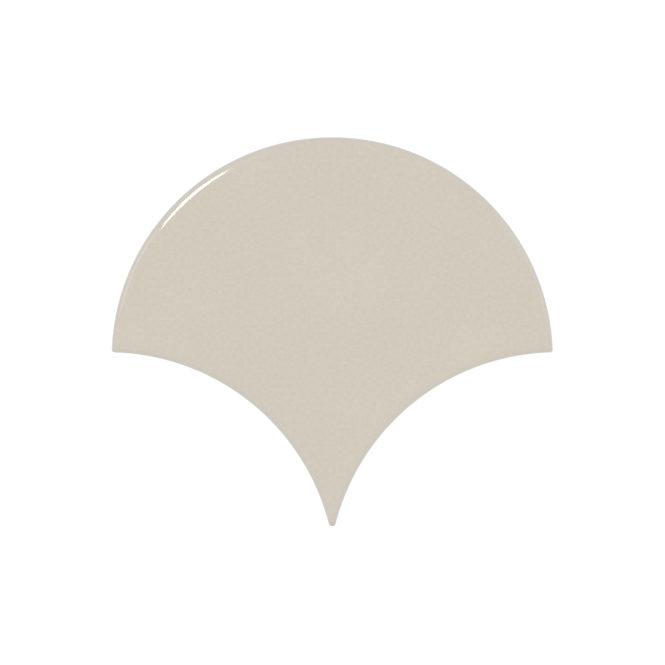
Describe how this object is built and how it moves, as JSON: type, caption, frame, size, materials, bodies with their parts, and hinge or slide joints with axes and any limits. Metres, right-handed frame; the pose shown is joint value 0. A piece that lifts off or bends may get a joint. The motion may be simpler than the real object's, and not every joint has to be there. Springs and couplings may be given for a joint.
{
  "type": "fish scale tile",
  "caption": "Fan-shaped glazed ceramic wall tile: round crown, two hollow flanks that meet in a pointed toe, softly rounded face edge and a keyed flat back.",
  "frame": {"origin": "centre of the crown's circle, on the plane of the back", "axes": "+Z out of the glazed face, +Y from the pointed toe to the round crown, +X across the tile"},
  "size_m": [0.12, 0.1058, 0.008],
  "materials": {
    "glaze": "gloss"
  },
  "bodies": {
    "root": {"fish_scale_tile": "glaze"}
  },
  "joints": []
}
